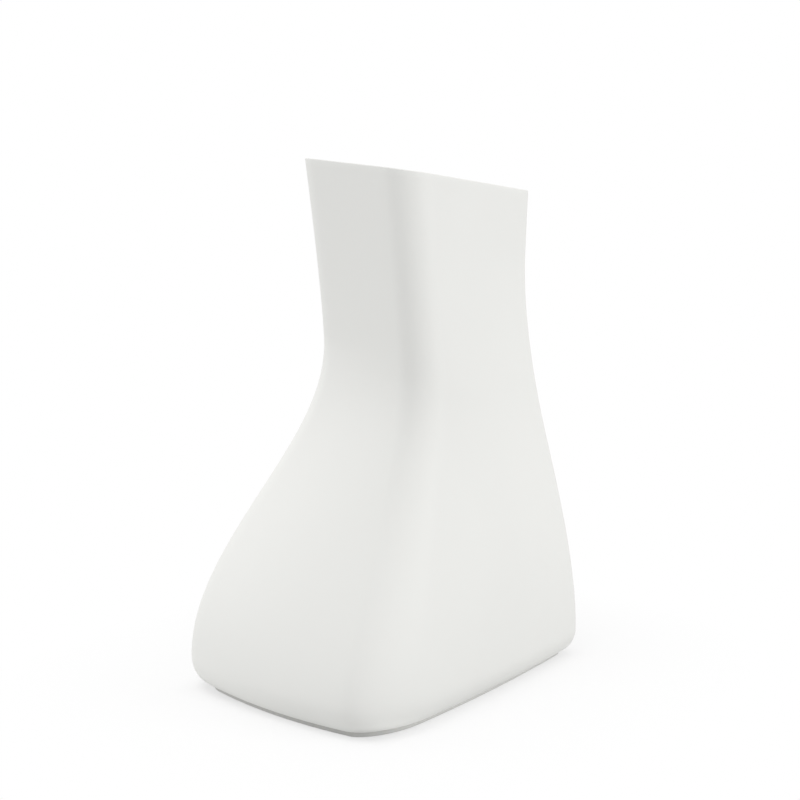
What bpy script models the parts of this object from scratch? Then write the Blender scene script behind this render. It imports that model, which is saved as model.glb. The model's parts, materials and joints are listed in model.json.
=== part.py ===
"""Floor vase: a moulded shell with a leaning four-sided neck, on a screwed plinth, with a lift-out bucket.

Metres, +Z up. The origin is on the ground, under the middle of the vase's outline.
The front faces -Y and the right side faces +X.
"""

import math

import bmesh
import bpy
from mathutils import Matrix, Vector

# Shell: height, mouth and walls
RIM_HEIGHT = 0.738          # rim plane above the ground, over the middle of the base
RIM_ANGLE_RIGHT = 3.08      # degrees that the rim slopes down to the right
RIM_ANGLE_BACK = 8.62       # degrees that the rim slopes down to the back
MOUTH_WIDTH = 0.1909
MOUTH_DEPTH = 0.2977
MOUTH_ANGLE = 0.91          # degrees that the mouth is turned, anticlockwise from above
MOUTH_SHIFT_RIGHT = 0.0493  # middle of the mouth, from the middle of the base
MOUTH_SHIFT_BACK = 0.0175
WALL = 0.006
FLOOR_THICKNESS = 0.008

# Shell: the foot
BASE_WIDTH = 0.3827
BASE_DEPTH = 0.5054
LEFT_CORNER_SETBACK = 0.0293  # how far the front left corner lies behind the near one
FOOT_ROUND_UP = 0.0356        # lower edge rounding, measured upwards
FOOT_ROUND_IN = 0.0252        # lower edge rounding, measured inwards

# Shell: narrowest place of each corner, from the middle of the base
NEAR_WAIST_RIGHT = 0.1544
NEAR_WAIST_FRONT = 0.107
NEAR_WAIST_HEIGHT = 0.4628
RIGHT_WAIST_RIGHT = 0.1372
RIGHT_WAIST_BACK = 0.1691
RIGHT_WAIST_HEIGHT = 0.6001
BACK_WAIST_LEFT = 0.0586
BACK_WAIST_BACK = 0.1757
BACK_WAIST_HEIGHT = 0.5414
LEFT_WAIST_LEFT = 0.0424
LEFT_WAIST_FRONT = 0.0949
LEFT_WAIST_HEIGHT = 0.5012

# Shell: how each corner runs, as powers of its way up
NEAR_SWEEP = 0.75           # foot to waist: below 1 the corner leans in sooner
REAR_SWEEP = 0.90
LEFT_SWEEP = 1.00
NEAR_FLARE = 1.05           # waist to mouth: 1 is straight, above 1 the corner opens late
NECK_FLARE = 1.29

# Shell: how far each face swells past a straight line between its corners
FRONT_BULGE = 0.0257
BACK_BULGE = 0.0154
SIDE_BULGE = 0.0117
NECK_BULGE = 0.0015
FLAT_HEIGHT = 0.4335        # from here up every face has the neck's bulge
FLATTENING = 1.73           # power of the way there

# Shell: corner roundings, as the length taken off each face
NEAR_FOOT_CORNER_FRONT = 0.0632
NEAR_FOOT_CORNER_RIGHT = 0.1093
REAR_FOOT_CORNER = 0.0371
LEFT_FOOT_CORNER = 0.0352
LEFT_UNDERSIDE_CORNER = 0.054  # the front left corner grows rounder below the foot's widest place
NEAR_NECK_CORNER = 0.047
REAR_NECK_CORNER = 0.016
LEFT_NECK_CORNER = 0.026
TIGHT_HEIGHT = 0.3456       # from here up every corner has the neck's rounding
TIGHTENING = 0.88           # power of the way there
NEAR_TIGHTENING = 0.58      # the same for the near corner, which gets there sooner

# Plinth and foot pads
PLINTH_THICKNESS = 0.0076
PLINTH_INSET = 0.0005        # behind the edge of the shell's flat underside
PLINTH_EDGE = 0.0008
PAD_RADIUS = 0.018
PAD_REVEAL = 0.0006          # how far the pads stand below the plinth
PAD_RECESS = 0.003
PAD_EDGE = 0.0005
PAD_FROM_SIDE = 0.037        # pad centre to the plinth's sides
PAD_FROM_END = 0.085         # pad centre to the plinth's front and back

# Screws and threaded inserts
SCREW_RADIUS = 0.003
SCREW_HEAD_RADIUS = 0.005
SCREW_HEAD_HEIGHT = 0.0035
SCREW_HEAD_SINK = 0.0006     # head below the plinth's underside
SCREW_TIP_CLEARANCE = 0.002
SOCKET_ACROSS_FLATS = 0.004
SOCKET_DEPTH = 0.002
SHANK_CLEARANCE = 0.0004
HEAD_CLEARANCE = 0.0007
INSERT_RADIUS = 0.0055
INSERT_LENGTH = 0.014
INSERT_GROOVE_WIDTH = 0.004
INSERT_GROOVE_DEPTH = 0.0008
BOSS_WALL = 0.006
BOSS_COVER = 0.004
SIDE_SCREW_FROM_SIDE = 0.030
END_SCREW_FROM_END = 0.036
END_SCREW_SPACING = 0.190

# Flower bucket, its bail and grip
BUCKET_BELOW_RIM = 0.090     # bucket's top below the lowest corner of the rim
BUCKET_CLEARANCE = 0.008     # bucket's lip to the narrowest way through the neck
BUCKET_WALL = 0.0025
BUCKET_FLOOR = 0.003
BUCKET_TAPER = 0.012         # how much each wall draws in towards the bottom
BUCKET_CORNER = 0.030
BUCKET_FOOT_EDGE = 0.003
LIP_WIDTH = 0.005
LIP_HEIGHT = 0.010
EAR_THICKNESS = 0.004
EAR_RADIUS = 0.009
EAR_SETBACK = 0.0005         # ear's outer face behind the lip's edge
BAIL_RADIUS = 0.0025
BAIL_BEND = 0.008
BAIL_PIN_PROUD = 0.003
GRIP_RADIUS = 0.007
GRIP_LENGTH = 0.090
GRIP_EDGE = 0.001

GAP = 0.0003                 # between pieces that touch

# How finely the round forms are drawn
CORNER_STEPS = 6
SIDE_STEPS = 5
FOOT_STEPS = 6
BODY_STEPS = 22
TURN_STEPS = 20
BUCKET_CORNER_STEPS = 5
WIRE_SIDES = 10
BEND_STEPS = 5
CLEARWAY_STEPS = 60

# Levels that pieces share
PLINTH_BOTTOM = PAD_REVEAL
PLINTH_TOP = PLINTH_BOTTOM + PLINTH_THICKNESS
SHELL_BOTTOM = PLINTH_TOP + GAP
FLOOR_TOP = SHELL_BOTTOM + FLOOR_THICKNESS
HEAD_BOTTOM = PLINTH_BOTTOM + SCREW_HEAD_SINK
HEAD_TOP = HEAD_BOTTOM + SCREW_HEAD_HEIGHT
INSERT_TOP = SHELL_BOTTOM + INSERT_LENGTH
BOSS_TOP = INSERT_TOP + GAP + BOSS_COVER
BUCKET_BOTTOM = FLOOR_TOP + GAP

CUT_MARGIN = 0.004           # how far a cutter runs past the face it opens


def clear_scene():
    for old in list(bpy.data.objects):
        bpy.data.objects.remove(old, do_unlink=True)


def make_material(name, colour, roughness, metallic=0.0):
    material = bpy.data.materials.new(name)
    material.use_nodes = True
    shader = material.node_tree.nodes["Principled BSDF"]
    shader.inputs["Base Color"].default_value = (*colour, 1.0)
    shader.inputs["Roughness"].default_value = roughness
    shader.inputs["Metallic"].default_value = metallic
    return material


def add_object(name, build, material=None, location=(0, 0, 0), parent=None, sharp_angle=35):
    """Make an object from a bmesh filled by build(bm). Without a material it is a hidden cutter."""
    bm = bmesh.new()
    build(bm)
    bmesh.ops.recalc_face_normals(bm, faces=bm.faces)
    mesh = bpy.data.meshes.new(name)
    bm.to_mesh(mesh)
    bm.free()
    piece = bpy.data.objects.new(name, mesh)
    bpy.context.scene.collection.objects.link(piece)
    piece.location = location
    piece.parent = parent
    if material is None:
        piece.hide_render = True
        piece.display_type = "WIRE"
    else:
        mesh.materials.append(material)
        mesh.shade_smooth()
        mesh.set_sharp_from_angle(angle=math.radians(sharp_angle))
    return piece


def combine(piece, other, operation):
    modifier = piece.modifiers.new(f"{operation.lower()} {other.name}", "BOOLEAN")
    modifier.operation = operation
    modifier.solver = "EXACT"
    modifier.object = other


def fill_rings(bm, rings, closed=False):
    """Skin a stack of rings of 3-D points. An open stack is capped at both ends, a closed one joins up."""
    loops = [[bm.verts.new(point) for point in ring] for ring in rings]
    pairs = list(zip(loops, loops[1:]))
    if closed:
        pairs.append((loops[-1], loops[0]))
    for low, high in pairs:
        count = len(low)
        for i in range(count):
            bm.faces.new((low[i], low[(i + 1) % count], high[(i + 1) % count], high[i]))
    if not closed:
        bm.faces.new(loops[0])
        bm.faces.new(loops[-1])


def turned_rings(profile, centre=(0, 0), steps=TURN_STEPS):
    """Rings of a turned form round a vertical axis, from (radius, height) pairs."""
    x, y = centre
    turns = [2 * math.pi * i / steps for i in range(steps)]
    return [[(x + r * math.cos(a), y + r * math.sin(a), z) for a in turns] for r, z in profile]


def smooth_step(start, end, value, power=1.0):
    share = min(max((value - start) / (end - start), 0.0), 1.0) ** power
    return share * share * (3 - 2 * share)


def blend(low, high, share):
    return low + (high - low) * share


# Shell sections
# A section is a level from 0 at the underside to 1 at the rim. The levels fan out, so that the last one is
# the slanted rim plane. Corners run in the order near, right, back, left.

def rim_height(x, y):
    fall_right = math.tan(math.radians(RIM_ANGLE_RIGHT))
    fall_back = math.tan(math.radians(RIM_ANGLE_BACK))
    return RIM_HEIGHT - fall_right * x - fall_back * y


def level_of(x, y, height):
    return (height - SHELL_BOTTOM) / (rim_height(x, y) - SHELL_BOTTOM)


def section_height(x, y, level):
    return SHELL_BOTTOM + level * (rim_height(x, y) - SHELL_BOTTOM)


FOOT_LEVEL = FOOT_ROUND_UP / (RIM_HEIGHT - SHELL_BOTTOM)
FLAT_LEVEL = level_of(0, 0, FLAT_HEIGHT)
TIGHT_LEVEL = level_of(0, 0, TIGHT_HEIGHT)

half_width = BASE_WIDTH / 2
half_depth = BASE_DEPTH / 2
FOOT_CORNERS = (
    Vector((half_width, -half_depth)),
    Vector((half_width, half_depth)),
    Vector((-half_width, half_depth)),
    Vector((-half_width, LEFT_CORNER_SETBACK - half_depth)),
)
WAIST_CORNERS = (
    Vector((NEAR_WAIST_RIGHT, -NEAR_WAIST_FRONT, NEAR_WAIST_HEIGHT)),
    Vector((RIGHT_WAIST_RIGHT, RIGHT_WAIST_BACK, RIGHT_WAIST_HEIGHT)),
    Vector((-BACK_WAIST_LEFT, BACK_WAIST_BACK, BACK_WAIST_HEIGHT)),
    Vector((-LEFT_WAIST_LEFT, -LEFT_WAIST_FRONT, LEFT_WAIST_HEIGHT)),
)
MOUTH_MIDDLE = Vector((MOUTH_SHIFT_RIGHT, MOUTH_SHIFT_BACK))
MOUTH_TURN = Matrix.Rotation(math.radians(MOUTH_ANGLE), 2)
MOUTH_CORNERS = tuple(
    MOUTH_MIDDLE + MOUTH_TURN @ Vector((x * MOUTH_WIDTH / 2, y * MOUTH_DEPTH / 2))
    for x, y in ((1, -1), (1, 1), (-1, 1), (-1, -1))
)
SWEEPS = (NEAR_SWEEP, REAR_SWEEP, REAR_SWEEP, LEFT_SWEEP)
FLARES = (NEAR_FLARE, NECK_FLARE, NECK_FLARE, NECK_FLARE)
FOOT_BULGES = (SIDE_BULGE, BACK_BULGE, SIDE_BULGE, FRONT_BULGE)
NECK_ROUNDINGS = (NEAR_NECK_CORNER, REAR_NECK_CORNER, REAR_NECK_CORNER, LEFT_NECK_CORNER)
TIGHTENINGS = (NEAR_TIGHTENING, TIGHTENING, TIGHTENING, TIGHTENING)


def section_corner(index, level):
    """Plan position of one corner, swept from the foot in to the waist and out again to the mouth."""
    waist = WAIST_CORNERS[index]
    waist_level = level_of(*waist)
    drawn_in = smooth_step(FOOT_LEVEL, waist_level, level, SWEEPS[index])
    opened = max((level - waist_level) / (1 - waist_level), 0.0) ** FLARES[index]
    return blend(FOOT_CORNERS[index], waist.xy, drawn_in) + (MOUTH_CORNERS[index] - waist.xy) * opened


def foot_roundings(level):
    """Lengths that each corner's rounding takes off the face before it and the face after it, at the foot."""
    below = max(1 - level / FOOT_LEVEL, 0.0)
    under = 1 - math.sqrt(1 - below * below)
    left = blend(LEFT_FOOT_CORNER, LEFT_UNDERSIDE_CORNER, under)
    rear = (REAR_FOOT_CORNER, REAR_FOOT_CORNER)
    return (NEAR_FOOT_CORNER_FRONT, NEAR_FOOT_CORNER_RIGHT), rear, rear, (left, left)


def section_outline(level, inset=0.0):
    """Plan outline of the shell at a level, moved inwards by inset."""
    corners = [section_corner(i, level) for i in range(4)]
    flat = smooth_step(FOOT_LEVEL, FLAT_LEVEL, level, FLATTENING)
    tight = [smooth_step(FOOT_LEVEL, TIGHT_LEVEL, level, power) for power in TIGHTENINGS]
    bulges = [blend(bulge, NECK_BULGE, flat) for bulge in FOOT_BULGES]
    roundings = list(zip(foot_roundings(level), NECK_ROUNDINGS, tight))
    taken_before = [blend(foot[0], neck, share) for foot, neck, share in roundings]
    taken_after = [blend(foot[1], neck, share) for foot, neck, share in roundings]

    def face_point(index, share):
        along = corners[(index + 1) % 4] - corners[index]
        outward = Vector((along.y, -along.x)).normalized()
        point = corners[index] + along * share + outward * (4 * bulges[index] * share * (1 - share))
        heading = (along + outward * (4 * bulges[index] * (1 - 2 * share))).normalized()
        return point, heading

    def face_span(index):
        length = (corners[(index + 1) % 4] - corners[index]).length
        return taken_after[index] / length, 1 - taken_before[(index + 1) % 4] / length

    points = []
    for index in range(4):
        before = (index - 1) % 4
        start, start_heading = face_point(before, face_span(before)[1])
        end, end_heading = face_point(index, face_span(index)[0])
        points += corner_curve(start, start_heading, end, end_heading)
        first, last = face_span(index)
        points += [face_point(index, blend(first, last, i / SIDE_STEPS))[0] for i in range(SIDE_STEPS)]
    return move_inwards(points, inset)


def corner_curve(start, start_heading, end, end_heading):
    """Round corner between two faces, as a curve whose handles aim at the faces' meeting point."""
    across = end - start
    reach = across.cross(end_heading) / start_heading.cross(end_heading)
    meeting = start + start_heading * reach
    handle = 4 / 3 * (math.sqrt(2) - 1)
    first = blend(start, meeting, handle)
    second = blend(end, meeting, handle)
    curve = []
    for i in range(CORNER_STEPS):
        t = i / CORNER_STEPS
        s = 1 - t
        curve.append(start * s**3 + first * (3 * s * s * t) + second * (3 * s * t * t) + end * t**3)
    return curve


def move_inwards(points, inset):
    moved = []
    for i, point in enumerate(points):
        heading = points[(i + 1) % len(points)] - points[i - 1]
        outward = Vector((heading.y, -heading.x)).normalized()
        moved.append(point - outward * inset)
    return moved


def section_ring(level, inset):
    return [(p.x, p.y, section_height(p.x, p.y, level)) for p in section_outline(level, inset)]


def skin_rings(wall, floor):
    """Rings of the shell's skin from the underside up, moved in by the wall and the floor."""
    round_up = FOOT_ROUND_UP - floor
    round_in = FOOT_ROUND_IN - wall
    rings = []
    for i in range(FOOT_STEPS):
        turn = math.pi / 2 * i / FOOT_STEPS
        level = (floor + round_up * (1 - math.cos(turn))) / (RIM_HEIGHT - SHELL_BOTTOM)
        rings.append(section_ring(level, wall + round_in * (1 - math.sin(turn))))
    for i in range(BODY_STEPS + 1):
        rings.append(section_ring(blend(FOOT_LEVEL, 1.0, i / BODY_STEPS), wall))
    return rings


# Places worked out from the shell

plinth_half_width = half_width - FOOT_ROUND_IN - PLINTH_INSET
plinth_half_depth = half_depth - FOOT_ROUND_IN - PLINTH_INSET
SCREW_PLACES = [(side * (plinth_half_width - SIDE_SCREW_FROM_SIDE), 0.0) for side in (-1, 1)]
SCREW_PLACES += [
    (side * END_SCREW_SPACING / 2, end * (plinth_half_depth - END_SCREW_FROM_END))
    for end in (-1, 1)
    for side in (-1, 1)
]
PAD_PLACES = [
    (side * (plinth_half_width - PAD_FROM_SIDE), end * (plinth_half_depth - PAD_FROM_END))
    for end in (-1, 1)
    for side in (-1, 1)
]


def outline_middle():
    """Middle of the shell's widest outline, which the vase is centred on."""
    outline = section_outline(FOOT_LEVEL)
    xs = [p.x for p in outline]
    ys = [p.y for p in outline]
    return (min(xs) + max(xs)) / 2, (min(ys) + max(ys)) / 2


def neck_clearway():
    """Middle and half sizes of the upright way that the neck leaves clear, inside its walls."""
    left = back = math.inf
    right = front = math.inf
    for i in range(CLEARWAY_STEPS + 1):
        level = i / CLEARWAY_STEPS
        near, right_corner, back_corner, left_corner = (section_corner(k, level) for k in range(4))
        right = min(right, near.x, right_corner.x)
        back = min(back, right_corner.y, back_corner.y)
        left = min(left, -back_corner.x, -left_corner.x)
        front = min(front, -near.y, -left_corner.y)
    middle = Vector(((right - left) / 2, (back - front) / 2))
    return middle, (right + left) / 2 - WALL, (back + front) / 2 - WALL


def lowest_rim():
    return min(rim_height(corner.x, corner.y) for corner in MOUTH_CORNERS)


# Pieces

def make_shell(frame, material):
    def shell(bm):
        outer = skin_rings(0.0, 0.0)
        inner = skin_rings(WALL, FLOOR_THICKNESS)
        fill_rings(bm, outer + inner[::-1])

    def bosses(bm):
        radius = INSERT_RADIUS + GAP + BOSS_WALL
        profile = [(radius, FLOOR_TOP - FLOOR_THICKNESS / 2), (radius, BOSS_TOP)]
        for place in SCREW_PLACES:
            fill_rings(bm, turned_rings(profile, place))

    def insert_holes(bm):
        radius = INSERT_RADIUS + GAP
        profile = [(radius, SHELL_BOTTOM - CUT_MARGIN), (radius, INSERT_TOP + GAP)]
        for place in SCREW_PLACES:
            fill_rings(bm, turned_rings(profile, place))

    piece = add_object("outer_shell", shell, material, parent=frame)
    combine(piece, add_object("boss_form", bosses, parent=frame), "UNION")
    combine(piece, add_object("insert_hole_cutter", insert_holes, parent=frame), "DIFFERENCE")


def make_plinth(frame, material):
    def plate(bm):
        outline = section_outline(0.0, FOOT_ROUND_IN + PLINTH_INSET)
        eased = section_outline(0.0, FOOT_ROUND_IN + PLINTH_INSET + PLINTH_EDGE)
        levels = (
            (eased, PLINTH_BOTTOM),
            (outline, PLINTH_BOTTOM + PLINTH_EDGE),
            (outline, PLINTH_TOP - PLINTH_EDGE),
            (eased, PLINTH_TOP),
        )
        fill_rings(bm, [[(p.x, p.y, z) for p in points] for points, z in levels])

    def screw_holes(bm):
        head = SCREW_HEAD_RADIUS + HEAD_CLEARANCE
        shank = SCREW_RADIUS + SHANK_CLEARANCE
        profile = [
            (head, PLINTH_BOTTOM - CUT_MARGIN),
            (head, HEAD_TOP + GAP),
            (shank, HEAD_TOP + GAP),
            (shank, PLINTH_TOP + CUT_MARGIN),
        ]
        for place in SCREW_PLACES:
            fill_rings(bm, turned_rings(profile, place))

    def pad_recesses(bm):
        radius = PAD_RADIUS + GAP
        profile = [(radius, PLINTH_BOTTOM - CUT_MARGIN), (radius, PLINTH_BOTTOM + PAD_RECESS)]
        for place in PAD_PLACES:
            fill_rings(bm, turned_rings(profile, place))

    piece = add_object("base_plinth", plate, material, parent=frame)
    combine(piece, add_object("screw_hole_cutter", screw_holes, parent=frame), "DIFFERENCE")
    combine(piece, add_object("pad_recess_cutter", pad_recesses, parent=frame), "DIFFERENCE")


def make_screws(frame, material):
    def screw(bm):
        tip = INSERT_TOP - SCREW_TIP_CLEARANCE
        chamfer = SCREW_RADIUS / 4
        profile = [
            (SCREW_HEAD_RADIUS - chamfer, HEAD_BOTTOM),
            (SCREW_HEAD_RADIUS, HEAD_BOTTOM + chamfer),
            (SCREW_HEAD_RADIUS, HEAD_TOP),
            (SCREW_RADIUS, HEAD_TOP),
            (SCREW_RADIUS, tip - chamfer),
            (SCREW_RADIUS - chamfer, tip),
        ]
        fill_rings(bm, turned_rings(profile))

    def socket(bm):
        radius = SOCKET_ACROSS_FLATS / 2 / math.cos(math.pi / 6)
        profile = [(radius, HEAD_BOTTOM - CUT_MARGIN), (radius, HEAD_BOTTOM + SOCKET_DEPTH)]
        fill_rings(bm, turned_rings(profile, steps=6))

    for number, place in enumerate(SCREW_PLACES, 1):
        piece = add_object(f"plinth_screw_{number}", screw, material, (*place, 0), frame)
        combine(piece, add_object(f"socket_cutter_{number}", socket, None, (*place, 0), frame), "DIFFERENCE")


def make_inserts(frame, material):
    def insert(bm):
        bore = SCREW_RADIUS + GAP
        middle = SHELL_BOTTOM + INSERT_LENGTH / 2
        groove = INSERT_RADIUS - INSERT_GROOVE_DEPTH
        profile = [
            (bore, SHELL_BOTTOM),
            (INSERT_RADIUS, SHELL_BOTTOM),
            (INSERT_RADIUS, middle - INSERT_GROOVE_WIDTH / 2),
            (groove, middle - INSERT_GROOVE_WIDTH / 2),
            (groove, middle + INSERT_GROOVE_WIDTH / 2),
            (INSERT_RADIUS, middle + INSERT_GROOVE_WIDTH / 2),
            (INSERT_RADIUS, INSERT_TOP),
            (bore, INSERT_TOP),
        ]
        fill_rings(bm, turned_rings(profile), closed=True)

    for number, place in enumerate(SCREW_PLACES, 1):
        add_object(f"threaded_insert_{number}", insert, material, (*place, 0), frame)


def make_foot_pads(frame, material):
    def pad(bm):
        top = PLINTH_BOTTOM + PAD_RECESS - GAP
        profile = [(PAD_RADIUS - PAD_EDGE, 0), (PAD_RADIUS, PAD_EDGE), (PAD_RADIUS, top)]
        fill_rings(bm, turned_rings(profile))

    for number, place in enumerate(PAD_PLACES, 1):
        add_object(f"foot_pad_{number}", pad, material, (*place, 0), frame)


def rounded_rectangle(half_x, half_y, radius, z):
    points = []
    quarter = math.pi / 2
    for index, (x, y) in enumerate(((1, 1), (-1, 1), (-1, -1), (1, -1))):
        for i in range(BUCKET_CORNER_STEPS + 1):
            turn = quarter * (index + i / BUCKET_CORNER_STEPS)
            centre = (x * (half_x - radius), y * (half_y - radius))
            points.append((centre[0] + radius * math.cos(turn), centre[1] + radius * math.sin(turn), z))
    return points


def make_bucket(frame, material, wire, sleeve):
    middle, clear_half_x, clear_half_y = neck_clearway()
    half_x = clear_half_x - BUCKET_CLEARANCE - LIP_WIDTH
    half_y = clear_half_y - BUCKET_CLEARANCE - LIP_WIDTH
    height = lowest_rim() - BUCKET_BELOW_RIM - BUCKET_BOTTOM
    pivot_height = height + GAP + GRIP_RADIUS
    ear_outside = half_y + LIP_WIDTH - EAR_SETBACK
    ear_inside = ear_outside - EAR_THICKNESS

    def ring(outwards, z):
        return rounded_rectangle(half_x + outwards, half_y + outwards, BUCKET_CORNER + outwards, z)

    def bucket(bm):
        lip_bottom = height - LIP_HEIGHT
        fill_rings(bm, [
            ring(-BUCKET_TAPER - BUCKET_FOOT_EDGE, 0),
            ring(-BUCKET_TAPER, BUCKET_FOOT_EDGE),
            ring(0, lip_bottom),
            ring(LIP_WIDTH, lip_bottom),
            ring(LIP_WIDTH, height),
            ring(-BUCKET_WALL, height),
            ring(-BUCKET_WALL, lip_bottom),
            ring(-BUCKET_WALL - BUCKET_TAPER, BUCKET_FLOOR),
        ])

    def ears(bm):
        foot = height - LIP_HEIGHT / 2
        arch = [math.pi * i / TURN_STEPS for i in range(TURN_STEPS + 1)]
        outline = [(EAR_RADIUS * math.cos(a), pivot_height + EAR_RADIUS * math.sin(a)) for a in arch]
        outline += [(-EAR_RADIUS, foot), (EAR_RADIUS, foot)]
        for end in (-1, 1):
            fill_rings(bm, [[(x, end * y, z) for x, z in outline] for y in (ear_inside, ear_outside)])

    def pivot_hole(bm):
        reach = ear_outside + CUT_MARGIN
        radius = BAIL_RADIUS + GAP
        rings = turned_rings([(radius, -reach), (radius, reach)])
        fill_rings(bm, [[(x, y, pivot_height + z) for x, z, y in points] for points in rings])

    piece = add_object("flower_bucket", bucket, material, (*middle, BUCKET_BOTTOM), frame)
    combine(piece, add_object("ear_form", ears, parent=piece), "UNION")
    combine(piece, add_object("pivot_hole_cutter", pivot_hole, parent=piece), "DIFFERENCE")
    arm = half_x + LIP_WIDTH / 2
    make_bail(piece, pivot_height, arm, ear_inside, ear_outside, wire, sleeve)


def bent_path(points, radius):
    """Path through plan points, with each bend rounded."""
    path = [points[0]]
    for before, bend, after in zip(points, points[1:], points[2:]):
        into = (bend - before).normalized()
        out = (after - bend).normalized()
        centre = bend - into * radius + out * radius
        for i in range(BEND_STEPS + 1):
            turn = math.pi / 2 * i / BEND_STEPS
            path.append(centre - out * (radius * math.cos(turn)) + into * (radius * math.sin(turn)))
    return path + [points[-1]]


def make_bail(bucket, pivot_height, arm, ear_inside, ear_outside, wire, sleeve):
    """Bail folded to the left, its origin on the line through both ears."""
    arm_y = ear_inside - GAP - BAIL_BEND
    pin_y = ear_outside + BAIL_PIN_PROUD
    plan = [(0, -pin_y), (0, -arm_y), (-arm, -arm_y), (-arm, arm_y), (0, arm_y), (0, pin_y)]

    def bail(bm):
        path = bent_path([Vector(point) for point in plan], BAIL_BEND)
        rings = []
        for i, point in enumerate(path):
            heading = (path[min(i + 1, len(path) - 1)] - path[max(i - 1, 0)]).normalized()
            side = Vector((heading.y, -heading.x))
            turns = [2 * math.pi * k / WIRE_SIDES for k in range(WIRE_SIDES)]
            ring = []
            for turn in turns:
                plan_point = point + side * (BAIL_RADIUS * math.cos(turn))
                ring.append((plan_point.x, plan_point.y, BAIL_RADIUS * math.sin(turn)))
            rings.append(ring)
        fill_rings(bm, rings)

    def grip(bm):
        bore = BAIL_RADIUS + GAP
        end = GRIP_LENGTH / 2
        profile = [
            (bore, -end),
            (GRIP_RADIUS - GRIP_EDGE, -end),
            (GRIP_RADIUS, GRIP_EDGE - end),
            (GRIP_RADIUS, end - GRIP_EDGE),
            (GRIP_RADIUS - GRIP_EDGE, end),
            (bore, end),
        ]
        rings = turned_rings(profile)
        fill_rings(bm, [[(x - arm, y, z) for x, z, y in points] for points in rings], closed=True)

    handle = add_object("bucket_bail", bail, wire, (0, 0, pivot_height), bucket)
    add_object("bail_grip", grip, sleeve, parent=handle)


def main():
    clear_scene()
    frame = bpy.data.objects.new("vase_frame", None)
    bpy.context.scene.collection.objects.link(frame)
    middle = outline_middle()
    frame.location = (-middle[0], -middle[1], 0)

    make_shell(frame, make_material("white moulded resin", (0.83, 0.83, 0.81), 0.55))
    make_plinth(frame, make_material("grey powder coat", (0.62, 0.62, 0.61), 0.5, 0.0))
    make_screws(frame, make_material("zinc plated steel", (0.62, 0.62, 0.60), 0.35, 1.0))
    make_inserts(frame, make_material("brass", (0.78, 0.60, 0.28), 0.35, 1.0))
    make_foot_pads(frame, make_material("black rubber", (0.03, 0.03, 0.03), 0.85))
    make_bucket(
        frame,
        make_material("dark grey polypropylene", (0.16, 0.17, 0.18), 0.5),
        make_material("galvanised wire", (0.66, 0.67, 0.68), 0.4, 1.0),
        make_material("black grip sleeve", (0.04, 0.04, 0.045), 0.6),
    )


main()
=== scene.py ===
# %% [markdown]
# # A leaning floor vase
# This scene dresses a tall white floor vase: a moulded shell with a leaning four-sided neck, a plinth
# screwed under it, and a flower bucket that lifts out by its bail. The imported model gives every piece
# its place, so it is loaded first and kept as a fixed frame. The finer pieces are then drawn in the
# same metres, right where the plain solids stand.

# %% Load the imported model
import json
import math

import bmesh
import bpy
from mathutils import Matrix, Vector

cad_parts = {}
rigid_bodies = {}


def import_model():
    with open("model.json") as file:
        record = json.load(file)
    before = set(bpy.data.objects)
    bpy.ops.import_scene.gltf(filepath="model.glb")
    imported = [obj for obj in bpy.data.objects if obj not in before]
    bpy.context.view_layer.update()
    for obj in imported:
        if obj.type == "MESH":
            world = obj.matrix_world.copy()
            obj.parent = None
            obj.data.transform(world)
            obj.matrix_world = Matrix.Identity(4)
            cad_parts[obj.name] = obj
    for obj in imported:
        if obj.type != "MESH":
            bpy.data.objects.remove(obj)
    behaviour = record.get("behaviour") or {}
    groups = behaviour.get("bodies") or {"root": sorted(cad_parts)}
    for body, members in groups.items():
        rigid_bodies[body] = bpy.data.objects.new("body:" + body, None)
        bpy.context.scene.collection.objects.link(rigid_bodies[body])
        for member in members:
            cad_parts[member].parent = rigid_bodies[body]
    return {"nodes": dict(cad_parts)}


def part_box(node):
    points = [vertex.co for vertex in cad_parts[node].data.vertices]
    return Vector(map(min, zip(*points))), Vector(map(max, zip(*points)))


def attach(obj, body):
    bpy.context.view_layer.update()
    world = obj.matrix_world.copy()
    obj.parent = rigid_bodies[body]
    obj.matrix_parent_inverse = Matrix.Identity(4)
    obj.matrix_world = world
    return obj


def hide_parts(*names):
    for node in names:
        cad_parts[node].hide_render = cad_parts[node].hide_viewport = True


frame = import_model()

scene = bpy.context.scene
nodes = frame["nodes"]
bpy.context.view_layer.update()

# %% [markdown]
# ## The camera
# The vase is seen from its near corner, with the lens a little higher than the rim and so far off that
# upright lines stay almost parallel. We could turn the camera by eye until it looks right. Here its
# place comes from a fit of the vase's outline instead, so the picture and the model can be laid over
# each other.

# %% Place the camera
LOOKS_DOWN, LOOKS_LEFT = math.radians(10.857), math.radians(37.117)
lens = bpy.data.cameras.new("studio_camera")
lens.lens = 80.17
lens.sensor_width = 36
camera = bpy.data.objects.new("studio_camera", lens)
camera.location = (1.5405, -1.9960, 0.8920)
camera.rotation_euler = (math.radians(90) - LOOKS_DOWN, 0, LOOKS_LEFT)
scene.collection.objects.link(camera)
scene.camera = camera
scene.view_settings.view_transform = "Standard"
print("camera distance:", round(camera.location.length, 3), "m")

# %% [markdown]
# ## Skins from rings
# Nearly every piece of this vase can be read as a stack of rings: the shell's sections, the bucket's
# walls, the turned pads and pins, the wire of the bail. One helper joins neighbouring rings with
# four-sided faces. An open stack gets a cap at each end, and a closed one runs back to its first ring,
# like a tyre.

# %% Helpers that skin, combine and settle a piece
SHARP_ANGLE = math.radians(32)  # edges that bend more than this stay crisp


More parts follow.
